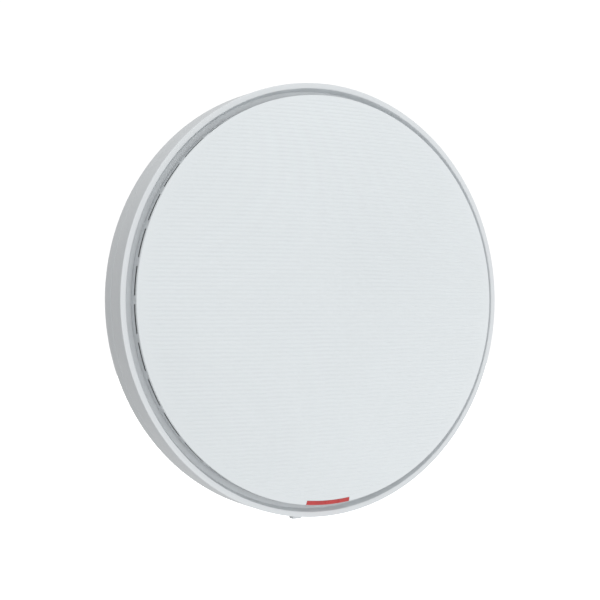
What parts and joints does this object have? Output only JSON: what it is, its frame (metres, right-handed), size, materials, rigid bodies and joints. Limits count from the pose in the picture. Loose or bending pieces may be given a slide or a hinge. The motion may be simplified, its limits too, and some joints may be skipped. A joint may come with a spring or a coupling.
{
  "type": "ceiling access point",
  "caption": "Round domed wireless access point with a ribbed cover, rim vents and a status light, sliding on a keyhole ceiling bracket with a side lock.",
  "frame": {"origin": "middle of the mounting bracket's central pad, on the plane that rests on the ceiling or wall", "axes": "+Y into the ceiling or wall, -Y out of the domed front; +Z towards the top of a wall-hung unit, with the status light at the bottom; +X to the right seen from the front. On a ceiling, -Y points down."},
  "size_m": [0.22, 0.0495, 0.2255],
  "materials": {
    "cover_plastic": "fine matte, moulded ribs",
    "housing_plastic": "satin moulded",
    "indicator_red": "translucent red",
    "clear_plastic": "clear moulded",
    "cast_metal": "die cast, powder grey",
    "sheet_steel": "galvanised",
    "tin_plate": "tinned",
    "board": "solder mask",
    "black_plastic": "moulded",
    "thermal_pad": "soft silicone",
    "label": "blank printed film",
    "lock_plastic": "moulded"
  },
  "bodies": {
    "bracket": {"mounting_bracket": "sheet_steel", "lock_guide": "sheet_steel"},
    "unit": {"front_cover": "cover_plastic", "indicator_lens": "indicator_red", "vent_ring": "housing_plastic", "vent_screen": "black_plastic", "front_bezel": "housing_plastic", "rear_housing": "housing_plastic", "base_casting": "cast_metal", "port_well": "black_plastic", "rating_label": "label", "case_screw_1": "sheet_steel", "case_screw_2": "sheet_steel", "case_screw_3": "sheet_steel", "case_screw_4": "sheet_steel", "mounting_stud_1": "sheet_steel", "mounting_stud_2": "sheet_steel", "mounting_stud_3": "sheet_steel", "mounting_stud_4": "sheet_steel", "main_board": "board", "board_screw_1": "sheet_steel", "board_screw_2": "sheet_steel", "board_screw_3": "sheet_steel", "board_screw_4": "sheet_steel", "processor": "black_plastic", "processor_thermal_pad": "thermal_pad", "radio_chip": "black_plastic", "radio_chip_thermal_pad": "thermal_pad", "rf_shield_1": "tin_plate", "rf_shield_2": "tin_plate", "ethernet_jack_1": "tin_plate", "ethernet_jack_2": "tin_plate", "usb_port": "tin_plate", "power_jack": "black_plastic", "reset_switch": "black_plastic", "power_transformer": "black_plastic", "capacitor_1": "tin_plate", "capacitor_2": "tin_plate", "capacitor_3": "tin_plate", "status_led": "label", "light_guide": "clear_plastic", "reflector_plate": "tin_plate", "antenna_1": "sheet_steel", "antenna_2": "sheet_steel", "antenna_3": "sheet_steel", "antenna_4": "sheet_steel", "antenna_5": "sheet_steel", "antenna_6": "sheet_steel"},
    "lock": {"lock_slider": "lock_plastic"},
    "reset": {"reset_button": "black_plastic"}
  },
  "joints": [
    {"name": "unit_slide", "type": "slide", "parent": "bracket", "child": "unit", "axis": [0, 0, 1], "range_m": [0, 0.01]},
    {"name": "lock_slide", "type": "slide", "parent": "bracket", "child": "lock", "axis": [1, 0, 0], "range_m": [-0.005, 0]},
    {"name": "reset_press", "type": "slide", "parent": "unit", "child": "reset", "axis": [0, 0, 1], "range_m": [0, 0.001], "stiffness_N_per_m": 300}
  ]
}
